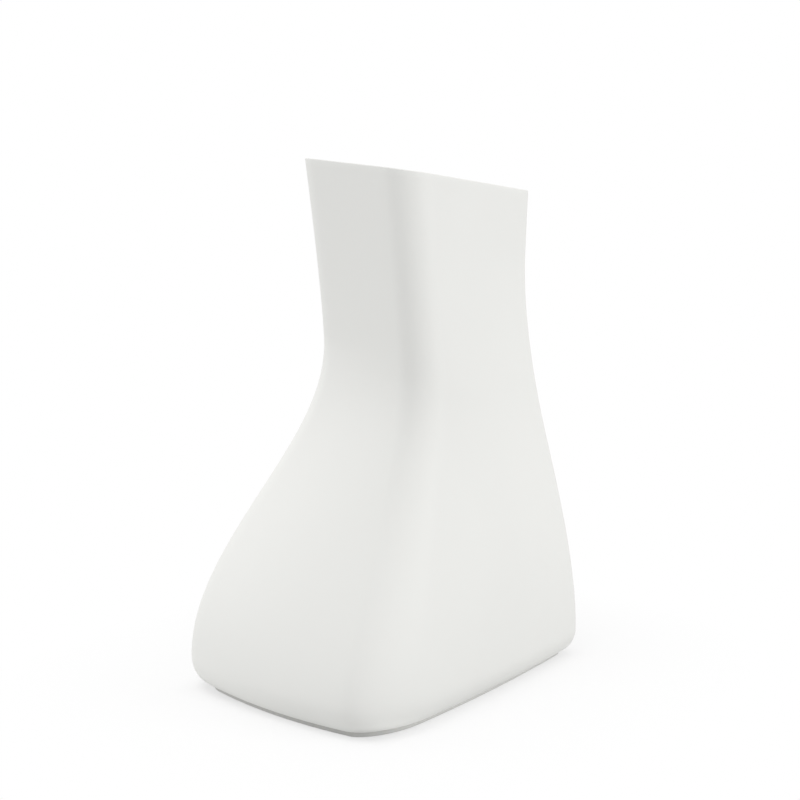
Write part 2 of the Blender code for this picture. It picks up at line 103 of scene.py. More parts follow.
def skin(name, stacks, closed=False):
    """New object from one or more stacks of rings of 3-D points."""
    bm = bmesh.new()
    for rings in stacks:
        loops = [[bm.verts.new(point) for point in ring] for ring in rings]
        pairs = list(zip(loops, loops[1:])) + ([(loops[-1], loops[0])] if closed else [])
        for low, high in pairs:
            for i in range(len(low)):
                j = (i + 1) % len(low)
                bm.faces.new((low[i], low[j], high[j], high[i]))
        if not closed:
            bm.faces.new(loops[0])
            bm.faces.new(loops[-1])
    bmesh.ops.recalc_face_normals(bm, faces=bm.faces)
    mesh = bpy.data.meshes.new(name)
    bm.to_mesh(mesh)
    bm.free()
    piece = bpy.data.objects.new(name, mesh)
    scene.collection.objects.link(piece)
    return piece


def combine(piece, tool, operation):
    """Join a tool to a piece, or cut it out of it, and keep only the result."""
    modifier = piece.modifiers.new("combine", "BOOLEAN")
    modifier.operation = operation
    modifier.solver = "EXACT"
    modifier.object = tool
    result = piece.evaluated_get(bpy.context.evaluated_depsgraph_get())
    piece.data = bpy.data.meshes.new_from_object(result)
    piece.modifiers.clear()
    bpy.data.objects.remove(tool)


def settle(piece, body, slot, *stands_for):
    """Shade a finished piece, tie it to its moving body and hide the solids it stands for; slot is not
    used.
    """
    piece.data.shade_smooth()
    piece.data.set_sharp_from_angle(angle=SHARP_ANGLE)
    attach(piece, body)
    if stands_for:
        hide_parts(*stands_for)
    print(piece.name, len(piece.data.polygons), "faces on", body)


def turned(profile, centre=(0, 0, 0), steps=48):
    """Rings of a form turned round an upright axis, from (radius, height) pairs."""
    x, y, z = centre
    turns = [2 * math.pi * i / steps for i in range(steps)]
    return [[(x + r * math.cos(a), y + r * math.sin(a), z + h) for a in turns] for r, h in profile]


def rounded(centre, radius, start, end, steps=5):
    """(across, up) points of an arc in a profile, with its angles in degrees."""
    angles = [math.radians(start + (end - start) * i / steps) for i in range(steps + 1)]
    return [(centre[0] + radius * math.cos(a), centre[1] + radius * math.sin(a)) for a in angles]

# %% [markdown]
# ## The shell's sections
# The shell is one hollow moulding. Its foot is a wide rounded rectangle with swelling sides, and its
# neck is a tight, flat-sided rectangle that stands nearer to the right side and leans to the front.
# Each of the four corners runs in from the foot to a waist and out again to the mouth, and each has its
# waist at another height, which gives the form its twist. We could sculpt this, but a section that
# changes with its level stays smooth everywhere. The levels fan out towards the slanted rim, so the
# last section is the rim itself.

# %% Corners of the shell from foot to mouth
SHELL_BOTTOM = 0.0085
RIM_HEIGHT = 0.738  # over the middle of the foot
SPAN = RIM_HEIGHT - SHELL_BOTTOM
FALL_RIGHT = math.tan(math.radians(3.08))
FALL_BACK = math.tan(math.radians(8.62))
SHIFT = Vector((-0.00016, -0.00106))  # sections are drawn about the middle of the foot, not of the frame
FOOT_WIDTH, FOOT_DEPTH, LEFT_SETBACK = 0.3827, 0.5054, 0.0293
FOOT_UP, FOOT_IN = 0.0356, 0.0252  # rounding of the lower edge
FOOT_LEVEL = FOOT_UP / SPAN
MOUTH_WIDTH, MOUTH_DEPTH = 0.1909, 0.2977

# The four corners in order: near, right, back and left
ways = ((1, -1), (1, 1), (-1, 1), (-1, -1))
foot_corners = [Vector((FOOT_WIDTH / 2 * x, FOOT_DEPTH / 2 * y)) for x, y in ways]
foot_corners[3].y += LEFT_SETBACK
waists = [(0.1544, -0.1070, 0.4628), (0.1372, 0.1691, 0.6001)]
waists += [(-0.0586, 0.1757, 0.5414), (-0.0424, -0.0949, 0.5012)]
mouth_middle = Vector((0.0493, 0.0175))
mouth_turn = Matrix.Rotation(math.radians(0.91), 2)
mouth_corners = []
for x, y in ways:
    mouth_corners.append(mouth_middle + mouth_turn @ Vector((MOUTH_WIDTH / 2 * x, MOUTH_DEPTH / 2 * y)))
sweeps = (0.75, 0.90, 0.90, 1.00)  # powers that shape the way in to the waist
flares = (1.05, 1.29, 1.29, 1.29)  # powers that shape the way out to the mouth


def rim_height(x, y):
    return RIM_HEIGHT - FALL_RIGHT * x - FALL_BACK * y


def level_of(x, y, height):
    return (height - SHELL_BOTTOM) / (rim_height(x, y) - SHELL_BOTTOM)


def eased(start, end, value, power=1.0):
    share = min(max((value - start) / (end - start), 0.0), 1.0) ** power
    return share * share * (3 - 2 * share)


def shell_corner(index, level):
    x, y, height = waists[index]
    waist_level = level_of(x, y, height)
    drawn_in = eased(FOOT_LEVEL, waist_level, level, sweeps[index])
    opened = max((level - waist_level) / (1 - waist_level), 0.0) ** flares[index]
    waist = Vector((x, y))
    return foot_corners[index].lerp(waist, drawn_in) + (mouth_corners[index] - waist) * opened


print("near corner at the waist:", [round(v, 4) for v in shell_corner(0, level_of(*waists[0]))])

# %% [markdown]
# Between two corners a side is a shallow bow, deepest at the front and almost gone in the neck. The
# corners themselves are rounded with a curve whose handles aim at the point where the two sides would
# meet, so the sides flow into it. Many points go into each corner, because that is where the light
# turns.

# %% One section of the shell
CORNER_STEPS, SIDE_STEPS = 16, 12
FLAT_LEVEL, FLATTENING = level_of(0, 0, 0.4335), 1.73
TIGHT_LEVEL = level_of(0, 0, 0.3456)
NECK_BOW = 0.0015
NEAR_ROUNDING, REAR_ROUNDING = (0.0632, 0.1093), (0.0371, 0.0371)
LEFT_ROUNDING, LEFT_GROWTH = 0.0352, 0.0188
HANDLE = 4 / 3 * (math.sqrt(2) - 1)
foot_bows = (0.0117, 0.0154, 0.0117, 0.0257)
neck_roundings = (0.047, 0.016, 0.016, 0.026)
tightenings = (0.58, 0.88, 0.88, 0.88)


def foot_roundings(level):
    """Lengths that each corner takes off the sides before and after it. The left one grows downwards."""
    below = max(1 - level / FOOT_LEVEL, 0.0)
    left = LEFT_ROUNDING + LEFT_GROWTH * (1 - math.sqrt(1 - below * below))
    return NEAR_ROUNDING, REAR_ROUNDING, REAR_ROUNDING, (left, left)


def shell_section(level, inset=0.0):
    """Plan points of one section, moved inwards by inset."""
    corners = [shell_corner(i, level) for i in range(4)]
    flat = eased(FOOT_LEVEL, FLAT_LEVEL, level, FLATTENING)
    tight = [eased(FOOT_LEVEL, TIGHT_LEVEL, level, power) for power in tightenings]
    bows = [4 * (foot + (NECK_BOW - foot) * flat) for foot in foot_bows]
    roundings = list(zip(foot_roundings(level), neck_roundings, tight))
    before = [foot[0] + (neck - foot[0]) * share for foot, neck, share in roundings]
    after = [foot[1] + (neck - foot[1]) * share for foot, neck, share in roundings]

    def side(index, share):
        along = corners[(index + 1) % 4] - corners[index]
        outward = Vector((along.y, -along.x)).normalized()
        point = corners[index] + along * share + outward * (bows[index] * share * (1 - share))
        return point, (along + outward * (bows[index] * (1 - 2 * share))).normalized()

    spans = []
    for index in range(4):
        length = (corners[(index + 1) % 4] - corners[index]).length
        spans.append((after[index] / length, 1 - before[(index + 1) % 4] / length))
    points = []
    for index in range(4):
        start, heading = side(index - 1, spans[index - 1][1])
        end, end_heading = side(index, spans[index][0])
        meeting = start + heading * ((end - start).cross(end_heading) / heading.cross(end_heading))
        first, second = start.lerp(meeting, HANDLE), end.lerp(meeting, HANDLE)
        for t in (i / CORNER_STEPS for i in range(CORNER_STEPS)):
            s = 1 - t
            points.append(start * s**3 + first * (3 * s * s * t) + second * (3 * s * t * t) + end * t**3)
        low, high = spans[index]
        points += [side(index, low + (high - low) * i / SIDE_STEPS)[0] for i in range(SIDE_STEPS)]
    moved = []
    for i, point in enumerate(points):
        heading = points[(i + 1) % len(points)] - points[i - 1]
        moved.append(point - Vector((heading.y, -heading.x)).normalized() * inset)
    return moved


def shell_ring(level, inset):
    ring = []
    for p in shell_section(level, inset):
        height = SHELL_BOTTOM + level * (rim_height(p.x, p.y) - SHELL_BOTTOM)
        ring.append((p.x + SHIFT.x, p.y + SHIFT.y, height))
    return ring


print("points in a section:", len(shell_section(0.5)))

# %% [markdown]
# ## The shell
# The outer skin starts on the flat underside, rolls over the rounded foot and climbs to the rim. The
# wall's edge at the mouth is cut and then eased by hand, so the two rim edges get a small rounding that
# catches the light as a fine bright line. The inner skin then runs back down, one wall thickness in, to
# the floor of the vase.

# %% Loft the shell
WALL, FLOOR = 0.006, 0.008
RIM_EASE = 0.0014
BODY_RINGS, FOOT_RINGS = 100, 12


def shell_skin(wall, floor):
    """Rings of one skin, from its flat foot up to where the rim's rounding starts."""
    rings = []
    for i in range(FOOT_RINGS):
        turn = math.pi / 2 * i / FOOT_RINGS
        level = (floor + (FOOT_UP - floor) * (1 - math.cos(turn))) / SPAN
        rings.append(shell_ring(level, wall + (FOOT_IN - wall) * (1 - math.sin(turn))))
    top = 1 - RIM_EASE / SPAN
    for i in range(BODY_RINGS + 1):
        rings.append(shell_ring(FOOT_LEVEL + (top - FOOT_LEVEL) * i / BODY_RINGS, wall))
    return rings


outer_edge = rounded((RIM_EASE, 0), RIM_EASE, 180, 90)[1:]
inner_edge = rounded((WALL - RIM_EASE, 0), RIM_EASE, 90, 0)[:-1]
rim_rings = [shell_ring(1 - (RIM_EASE - up) / SPAN, across) for across, up in outer_edge + inner_edge]
shell = skin("vase_shell", [shell_skin(0, 0) + rim_rings + shell_skin(WALL, FLOOR)[::-1]])
print("shell:", len(shell.data.polygons), "faces before the bosses")

# %% [markdown]
# Six bosses stand on the floor inside the shell. Each holds a brass insert, because a screw would soon
# strip the soft resin. One boss profile is turned six times and grows together with the floor, and then
# the holes for the inserts are drilled from below.

# %% Add the bosses
GAP = 0.0003  # left between pieces that touch
CUT = 0.004  # how far a cutting tool runs past the face it opens
BOSS_RADIUS, BOSS_TOP, BOSS_EASE = 0.0118, 0.0268, 0.0016
INSERT_RADIUS = 0.0055
insert_boxes = [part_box(f"threaded_insert_{k}") for k in range(1, 7)]
screw_places = [(low + high).xy / 2 for low, high in insert_boxes]
boss_profile = [(BOSS_RADIUS, SHELL_BOTTOM + FLOOR / 2)]
boss_profile += rounded((BOSS_RADIUS - BOSS_EASE, BOSS_TOP - BOSS_EASE), BOSS_EASE, 0, 90)
combine(shell, skin("bosses", [turned(boss_profile, (*p, 0)) for p in screw_places]), "UNION")
hole_radius, insert_top = INSERT_RADIUS + GAP, insert_boxes[0][1].z
hole_profile = [(hole_radius, SHELL_BOTTOM - CUT), (hole_radius, insert_top + GAP)]
combine(shell, skin("insert_holes", [turned(hole_profile, (*p, 0)) for p in screw_places]), "DIFFERENCE")
settle(shell, "vase", "shell_resin", "outer_shell")
shell_box = Vector(shell.bound_box[0]), Vector(shell.bound_box[6])
miss = max((solid - fine).length for solid, fine in zip(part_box("outer_shell"), shell_box))
print("shell against its solid, corners within", round(miss * 1000, 2), "mm")

# %% [markdown]
# ## The plinth
# A thick steel plate is screwed under the shell, just inside the edge of its flat underside. It gives
# the tall vase a low centre of weight and lifts it a little, so that a narrow dark line shows under it.
# Its outline is the shell's own lowest section, so we ask for that again, a little further in, and
# round its edges.

# %% Cut the plinth plate
PLINTH_LOW, PLINTH_HIGH = 0.0006, 0.0082
PLINTH_EASE, PLINTH_INSET = 0.0012, 0.0005
lower_edge = rounded((PLINTH_EASE, PLINTH_LOW + PLINTH_EASE), PLINTH_EASE, 270, 180, 4)
upper_edge = rounded((PLINTH_EASE, PLINTH_HIGH - PLINTH_EASE), PLINTH_EASE, 180, 90, 4)
plate_rings = []
for across, height in lower_edge + upper_edge:
    outline = shell_section(0.0, FOOT_IN + PLINTH_INSET + across)
    plate_rings.append([(p.x + SHIFT.x, p.y + SHIFT.y, height) for p in outline])
plinth = skin("plinth_plate", [plate_rings])
print("plinth plate:", len(plate_rings), "rings of", len(plate_rings[0]), "points")

# %% [markdown]
# The screw heads sit in stepped holes, so that nothing stands out below the plate, and the pads sit in
# shallow round pockets. Both are made as in the workshop: turned cutters are sunk into the plate.

# %% Drill the plinth
HEAD_HOLE, HEAD_SEAT, SHANK_HOLE = 0.0057, 0.0050, 0.0034
HOLE_EASE = 0.0004
stepped = [(HEAD_HOLE + HOLE_EASE, -CUT), (HEAD_HOLE + HOLE_EASE, PLINTH_LOW)]
stepped += [(HEAD_HOLE, PLINTH_LOW + HOLE_EASE), (HEAD_HOLE, HEAD_SEAT)]
stepped += [(SHANK_HOLE, HEAD_SEAT), (SHANK_HOLE, PLINTH_HIGH + CUT)]
combine(plinth, skin("screw_holes", [turned(stepped, (*p, 0)) for p in screw_places]), "DIFFERENCE")

PAD_RADIUS, PAD_TOP = 0.0180, 0.0033
pad_places = [sum(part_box(f"foot_pad_{k}"), Vector()).xy / 2 for k in range(1, 5)]
pocket = [(PAD_RADIUS + GAP, -CUT), (PAD_RADIUS + GAP, PAD_TOP + GAP)]
combine(plinth, skin("pad_pockets", [turned(pocket, (*p, 0)) for p in pad_places]), "DIFFERENCE")
settle(plinth, "vase", "plinth_coat", "base_plinth")

# %% [markdown]
# ## The foot pads
# Four rubber pads keep the steel off the floor. A plain disc would do for the outline, but a real pad
# is moulded with ring-shaped grooves on its underside, so that it grips, and a soft outer edge. A
# turned profile gives both.

# %% Turn the foot pads
PAD_STEPS, PAD_MIDDLE = 56, 0.0004
DIMPLE_RADIUS, DIMPLE_DEPTH = 0.0028, 0.0006
GROOVES = (0.0062, 0.0102)
GROOVE_WIDTH, GROOVE_DEPTH, GROOVE_SLOPE = 0.0018, 0.0008, 0.0004
LOWER_EASE, UPPER_EASE = 0.0010, 0.0004
pad_profile = [(PAD_MIDDLE, DIMPLE_DEPTH), (DIMPLE_RADIUS, DIMPLE_DEPTH)]
pad_profile += [(DIMPLE_RADIUS + GROOVE_SLOPE, 0.0)]
for inner in GROOVES:
    outer = inner + GROOVE_WIDTH
    pad_profile += [(inner, 0.0), (inner + GROOVE_SLOPE, GROOVE_DEPTH)]
    pad_profile += [(outer - GROOVE_SLOPE, GROOVE_DEPTH), (outer, 0.0)]
pad_profile += rounded((PAD_RADIUS - LOWER_EASE, LOWER_EASE), LOWER_EASE, 270, 360, 4)
pad_profile += rounded((PAD_RADIUS - UPPER_EASE, PAD_TOP - UPPER_EASE), UPPER_EASE, 0, 90, 2)
for number, place in enumerate(pad_places, 1):
    pad = skin(f"rubber_pad_{number}", [turned(pad_profile, (*place, 0), PAD_STEPS)])
    settle(pad, "vase", "pad_rubber", f"foot_pad_{number}")

# %% [markdown]
# ## The flower bucket
# Inside stands a tall bucket for the water and the stems, small enough to pass up through the neck. Its
# outline is a rounded rectangle that narrows towards the foot. We could type its sizes in once more,
# but the frame already knows how wide and deep the bucket is and how high the bail's pins lie, so we
# ask it.

# %% Measure the bucket
bucket_low, bucket_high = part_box("flower_bucket")
BUCKET_FOOT = bucket_low.z
bucket_middle = (bucket_low + bucket_high) / 2
LIP, LIP_HEIGHT = 0.005, 0.010
BUCKET_CORNER, BUCKET_WALL, TAPER = 0.030, 0.0025, 0.012
GRIP_RADIUS = 0.007  # the folded grip lies on the lip
half_x = (bucket_high.x - bucket_low.x) / 2 - LIP
half_y = (bucket_high.y - bucket_low.y) / 2 - LIP
pivot = Vector((bucket_middle.x, bucket_middle.y, sum(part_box("bucket_bail"), Vector()).z / 2))
BUCKET_HEIGHT = pivot.z - GRIP_RADIUS - GAP - BUCKET_FOOT
skirt_low = BUCKET_HEIGHT - LIP_HEIGHT


def bucket_ring(outwards, height, steps=12):
    """Rounded rectangle of the bucket, grown outwards, at a height above its foot."""
    radius = BUCKET_CORNER + outwards
    ring = []
    for index, (x, y) in enumerate(((1, 1), (-1, 1), (-1, -1), (1, -1))):
        centre = (x * (half_x - BUCKET_CORNER), y * (half_y - BUCKET_CORNER))
        for i in range(steps + 1):
            turn = math.pi / 2 * (index + i / steps)
            ring.append((
                bucket_middle.x + centre[0] + radius * math.cos(turn),
                bucket_middle.y + centre[1] + radius * math.sin(turn),
                BUCKET_FOOT + height,
            ))
    return ring


def wall_offset(height):
    """How far the outer wall stands from the top outline, with its taper."""
    return -TAPER * (1 - height / skirt_low)


print("bucket:", round(2 * half_x, 4), "x", round(2 * half_y, 4), "m under the lip")

# %% [markdown]
# Such buckets are moulded in polypropylene, with a turned-down lip that stiffens the mouth and a few
# raised bands on the wall. We draw a section of the wall, from the foot over the lip to the floor
# inside, as offsets from the outline, and sweep it round.

# %% Sweep the bucket's wall
FOOT_EASE, BUCKET_FLOOR = 0.004, 0.003
BANDS = (0.12, 0.46, 0.50)
BAND_HEIGHT, BAND_PROUD, BAND_SLOPE = 0.0080, 0.0008, 0.0012
LIP_THICKNESS, LIP_EASE, MOUTH_EASE = 0.0026, 0.0024, 0.0006
SKIRT_WIDTH, SKIRT_RISE, SKIRT_BEND = 0.0016, 0.0006, 0.0014
WALL_RISE = 0.002  # how far the outer wall runs straight up inside the skirt
bucket_profile = rounded((wall_offset(0) - FOOT_EASE, FOOT_EASE), FOOT_EASE, 270, 360, 6)
for band in BANDS:
    band_top = band + BAND_HEIGHT
    low, high = wall_offset(band), wall_offset(band_top)
    bucket_profile += [(low, band), (low + BAND_PROUD, band + BAND_SLOPE)]
    bucket_profile += [(high + BAND_PROUD, band_top - BAND_SLOPE), (high, band_top)]
lip_low = BUCKET_HEIGHT - LIP_THICKNESS
bucket_profile += [(0.0, skirt_low + WALL_RISE)]
bucket_profile += rounded((SKIRT_BEND, lip_low - SKIRT_BEND), SKIRT_BEND, 180, 90, 4)
bucket_profile += [(LIP - SKIRT_WIDTH, lip_low)]
bucket_profile += rounded((LIP - SKIRT_WIDTH / 2, skirt_low + SKIRT_RISE), SKIRT_WIDTH / 2, 180, 360, 6)
bucket_profile += rounded((LIP - LIP_EASE, BUCKET_HEIGHT - LIP_EASE), LIP_EASE, 0, 90, 6)
bucket_profile += rounded((MOUTH_EASE - BUCKET_WALL, BUCKET_HEIGHT - MOUTH_EASE), MOUTH_EASE, 90, 180, 3)
bucket_profile += [(-BUCKET_WALL, skirt_low)]
inner_foot = wall_offset(2 * BUCKET_FLOOR) - BUCKET_WALL - FOOT_EASE
bucket_profile += rounded((inner_foot, BUCKET_FLOOR + FOOT_EASE), FOOT_EASE, 360, 270, 6)
bucket = skin("lift_out_bucket", [[bucket_ring(*point) for point in bucket_profile]])
print("bucket profile:", len(bucket_profile), "points, pivot height", round(pivot.z, 5))

# %% [markdown]
# Two ears stand up from the lip and carry the bail. Each is a small arch with a hole for the pin. We
# draw the arch once, skin it as a short thick plate with slightly eased faces, and let it grow together
# with the lip.

# %% Add the ears
EAR_RADIUS, EAR_THICKNESS, EAR_EASE = 0.009, 0.004, 0.0006
EAR_SETBACK, EAR_ROOT = 0.0005, 0.0035
ARCH_STEPS, HOLE_STEPS = 28, 32
WIRE = 0.0025  # radius of the bail's wire
ear_outside = half_y + LIP - EAR_SETBACK
ear_inside = ear_outside - EAR_THICKNESS


def ear_ring(end, depth, shrink):
    """Arch of one ear at a depth along the pin, with its outline drawn in by shrink."""
    radius = EAR_RADIUS - shrink
    foot = BUCKET_FOOT + BUCKET_HEIGHT - EAR_ROOT
    arch = [math.pi * i / ARCH_STEPS for i in range(ARCH_STEPS + 1)]
    outline = [(radius * math.cos(a), pivot.z + radius * math.sin(a)) for a in arch]
    outline += [(-radius, foot), (radius, foot)]
    return [(pivot.x + x, pivot.y + end * depth, z) for x, z in outline]


layers = [(ear_inside, EAR_EASE), (ear_inside + EAR_EASE, 0)]
layers += [(ear_outside - EAR_EASE, 0), (ear_outside, EAR_EASE)]
hole = turned([(WIRE + GAP, ear_inside - CUT), (WIRE + GAP, ear_outside + CUT)], steps=HOLE_STEPS)
ears, pin_holes = [], []
for end in (-1, 1):
    ears.append([ear_ring(end, *layer) for layer in layers])
    pin_holes.append([[(pivot.x + x, pivot.y + end * z, pivot.z + y) for x, y, z in ring] for ring in hole])
combine(bucket, skin("ears", ears), "UNION")
combine(bucket, skin("pin_holes", pin_holes), "DIFFERENCE")
settle(bucket, "bucket", "bucket_plastic", "flower_bucket")

# %% [markdown]
# ## The bail and its grip
# The bail is one length of galvanised wire, bent into a flat bow. Its ends pass through the ears and
# are upset into small heads, so that they can't slip out. At rest it lies folded to the left on the
# bucket's lip. A curve with a bevel would be quick, but rings along the path let us swell the ends into
# those heads.

# %% Bend the wire
BEND, BEND_STEPS = 0.008, 12
WIRE_SIDES = 18
PIN_PROUD = 0.003
pin_head = ((0.0, WIRE * 0.55), (0.0004, 0.0034), (0.0018, 0.0036), (0.0024, 0.0032), (0.0026, WIRE))
grip_low, grip_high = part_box("bail_grip")
arm = pivot.x - (grip_low.x + grip_high.x) / 2
arm_y = ear_inside - GAP - BEND
pin_y = ear_outside + PIN_PROUD
plan = [Vector((0, -pin_y)), Vector((0, -arm_y)), Vector((-arm, -arm_y))]
plan += [Vector((-arm, arm_y)), Vector((0, arm_y)), Vector((0, pin_y))]
path = [(plan[0] + Vector((0, along)), radius) for along, radius in pin_head]
for before, bend, after in zip(plan, plan[1:], plan[2:]):
    into, out = (bend - before).normalized(), (after - bend).normalized()
    centre = bend - into * BEND + out * BEND
    for turn in (math.pi / 2 * i / BEND_STEPS for i in range(BEND_STEPS + 1)):
        path.append((centre - out * (BEND * math.cos(turn)) + into * (BEND * math.sin(turn)), WIRE))
path += [(Vector((0, pin_y - along)), radius) for along, radius in pin_head[::-1]]

wire_rings = []
for i, (point, radius) in enumerate(path):
    heading = (path[min(i + 1, len(path) - 1)][0] - path[max(i - 1, 0)][0]).normalized()
    across = Vector((heading.y, -heading.x))
    ring = []
    for turn in (2 * math.pi * k / WIRE_SIDES for k in range(WIRE_SIDES)):
        place = point + across * (radius * math.cos(turn))
        ring.append((pivot.x + place.x, pivot.y + place.y, pivot.z + radius * math.sin(turn)))
    wire_rings.append(ring)
bail = skin("wire_bail", [wire_rings])
settle(bail, "bail", "bail_wire", "bucket_bail")

# %% [markdown]
# The grip is a plastic sleeve, threaded on the wire before it is bent. It swells a little in the middle
# and has shallow rings for wet fingers. We turn it like a spindle and lay it along the bail.

# %% Turn the grip
GRIP_HALF, GRIP_EASE = 0.045, 0.0012
GRIP_STEPS, GRIP_SIDES = 120, 36
END_FACE, END_RADIUS = 0.0052, 0.0066
RINGS, RING_HEIGHT, RING_MARGIN, RING_FADE = 11, 0.00022, 0.0014, 0.06
MIDDLE_RADIUS, SWELL = 0.00676, 0.0003
grip_end = [(WIRE + GAP, -GRIP_HALF), (END_FACE, -GRIP_HALF)]
grip_end += rounded((END_RADIUS - GRIP_EASE, GRIP_EASE - GRIP_HALF), GRIP_EASE, 270, 360, 4)
grip_profile = list(grip_end)
for i in range(1, GRIP_STEPS):
    share = i / GRIP_STEPS
    along = 2 * share - 1
    ring = RING_HEIGHT * math.cos(math.pi * RINGS * along) * eased(0, RING_FADE, min(share, 1 - share))
    grip_profile.append((MIDDLE_RADIUS + ring - SWELL * along**2, (GRIP_HALF - RING_MARGIN) * along))
grip_profile += [(radius, -along) for radius, along in grip_end[::-1]]
grip_rings = turned(grip_profile, steps=GRIP_SIDES)
grip_stack = [[(pivot.x - arm + x, pivot.y + z, pivot.z + y) for x, y, z in ring] for ring in grip_rings]
grip = skin("grip_sleeve", [grip_stack], closed=True)
settle(grip, "bail", "grip_sleeve", "bail_grip")

# %% [markdown]
# ## Finishes as sums
# A finish is a graph of nodes, and wiring it by hand takes many lines that say little. Here a small
# class holds one output of a node and knows Python's arithmetic, so a mask can be written as a sum, and
# each sum adds its own Math node. All other nodes come from a single method.

# %% A small language for finishes
class Value:
    """One output of a shader node, which can be added, multiplied and so on."""

    def __init__(self, finish, socket):
        self.finish = finish
        self.socket = socket

    def math(self, operation, first, second):
        return self.finish.node("ShaderNodeMath", {"operation": operation}, {0: first, 1: second})

    def __add__(self, other):
        return self.math("ADD", self, other)

    def __sub__(self, other):
        return self.math("SUBTRACT", self, other)

    def __rsub__(self, other):
        return self.math("SUBTRACT", other, self)

    def __mul__(self, other):
        return self.math("MULTIPLY", self, other)

    __radd__ = __add__
    __rmul__ = __mul__


class Finish:
    """A material or world whose nodes are made from Python."""

    def __init__(self, owner):
        owner.use_nodes = True
        self.tree = owner.node_tree
        self.tree.nodes.clear()

    def node(self, kind, settings=None, sockets=None, output=0):
        made = self.tree.nodes.new(kind)
        for name, value in (settings or {}).items():
            if name == "stops":
                ramp = made.color_ramp
                while len(ramp.elements) < len(value):
                    ramp.elements.new(0.5)
                for element, (position, tone) in zip(ramp.elements, value):
                    element.position = position
                    element.color = (tone, tone, tone, 1)
            else:
                setattr(made, name, value)
        for name, value in (sockets or {}).items():
            if isinstance(value, Value):
                self.tree.links.new(value.socket, made.inputs[name])
            else:
                made.inputs[name].default_value = value
        return Value(self, made.outputs[output]) if made.outputs else None

    def noise(self, place, scale, detail=2.0, roughness=0.5):
        sockets = {"Vector": place, "Scale": scale, "Detail": detail, "Roughness": roughness}
        return self.node("ShaderNodeTexNoise", {}, sockets)

    def ramp(self, value, *stops):
        return self.node("ShaderNodeValToRGB", {"stops": stops}, {"Fac": value})

    def blend(self, share, first, second):
        tones = {6: (*first, 1) if isinstance(first, tuple) else first}
        tones[7] = (*second, 1) if isinstance(second, tuple) else second
        return self.node("ShaderNodeMix", {"data_type": "RGBA"}, {0: share, **tones}, output=2)

    def bump(self, height, strength, depth):
        return self.node("ShaderNodeBump", {}, {"Strength": strength, "Distance": depth, "Height": height})

    def white_rays(self):
        """1 for rays from the camera and for those that a gloss or a glass sends on, 0 for all others."""
        kinds = ("Is Camera Ray", "Is Glossy Ray", "Is Transmission Ray")
        rays = [self.node("ShaderNodeLightPath", output=kind) for kind in kinds]
        return rays[0] + rays[1] + rays[2]

    def surface(self, **sockets):
        named = {name.replace("_", " "): value for name, value in sockets.items()}
        shader = self.node("ShaderNodeBsdfPrincipled", {}, named)
        self.node("ShaderNodeOutputMaterial", {}, {"Surface": shader})


def new_finish(name):
    material = bpy.data.materials.new(name)
    finish = Finish(material)
    place = finish.node("ShaderNodeTexCoord", output="Object")
    return material, finish, place


def coat(material, *pieces):
    for piece in pieces:
        piece.data.materials.clear()
        piece.data.materials.append(material)
    print(material.name, "on", len(pieces), "pieces,", len(material.node_tree.nodes), "nodes")

# %% [markdown]
# ## White moulded resin
# The shell is moulded in a white resin, matte to the touch. Up close it has the very fine peel of its
# mould, and over its whole height the pigment drifts a little in tone, hardly enough to see. One white
# with one gloss would look like a cut-out. So two whites are blended by a cloudy noise, the gloss
# follows a finer one, and a small bump gives the peel.

# %% Resin finish
resin, finish, place = new_finish("white_moulded_resin")
clouds = finish.noise(place, 6.0, 3.0)
grain = finish.noise(place, 260.0, 2.0)
peel = finish.noise(place, 900.0, 2.0, 0.6)
tone = clouds * 0.7 + grain * 0.3
shade = finish.ramp(tone, (0.3, 0.0), (0.7, 1.0))
white = finish.blend(shade, (0.834, 0.836, 0.812), (0.842, 0.844, 0.820))
gloss = 0.62 + (grain - 0.5) * 0.08 + (clouds - 0.5) * 0.05
finish.surface(
    Base_Color=white,
    Roughness=gloss,
    Normal=finish.bump(peel * 0.6 + grain * 0.4, 0.10, 0.0003),
)
coat(resin, shell)

# %% [markdown]
# ## Powder-coated steel
# The plinth is sprayed with powder and baked, which leaves a fine orange peel and a few darker specks
# of pigment. The grey is the coat's own darkened by painted shade, a shade below the shell's white, so
# the plinth reads as a shadow line.

# %% Powder coat finish
powder, finish, place = new_finish("grey_powder_coat")
peel = finish.noise(place, 700.0, 2.0)
drift = finish.noise(place, 14.0, 3.0)
flecks = finish.ramp(finish.noise(place, 2600.0, 1.0), (0.66, 0.0), (0.74, 1.0))
# The coat's grey with painted shade in it, so the plinth reads as a shadow line.
grey = finish.blend(drift, (0.58, 0.58, 0.559), (0.64, 0.64, 0.617))
finish.surface(
    Base_Color=finish.blend(flecks * 0.25, grey, (0.30, 0.30, 0.30)),
    Roughness=0.46 + (peel - 0.5) * 0.16,
    Normal=finish.bump(peel, 0.22, 0.0003),
)
coat(powder, plinth)

# %% [markdown]
# ## Rubber pads
# The pads are black rubber, dull and a little dusty where they lie near the floor. Dust is a pale grey
# laid over the black by a noise, and it also takes away what little gloss there is.

# %% Rubber finish
rubber, finish, place = new_finish("black_pad_rubber")
pores = finish.noise(place, 1500.0, 2.0)
dust = finish.ramp(finish.noise(place, 90.0, 4.0), (0.45, 0.0), (0.75, 1.0))
finish.surface(
    Base_Color=finish.blend(dust * 0.35, (0.022, 0.022, 0.023), (0.16, 0.155, 0.15)),
    Roughness=0.72 + dust * 0.2,
    Normal=finish.bump(pores, 0.3, 0.0002),
)
coat(rubber, *[bpy.data.objects[f"rubber_pad_{k}"] for k in range(1, 5)])

# %% [markdown]
# ## Zinc and brass
# The screws are zinc plated and the inserts are turned brass. Both are metals, so their colour lives in
# the reflection. The zinc gets the faint blue and straw clouds of its passivation, the brass the fine
# rings that the lathe leaves, drawn by a wave that runs along the axis.

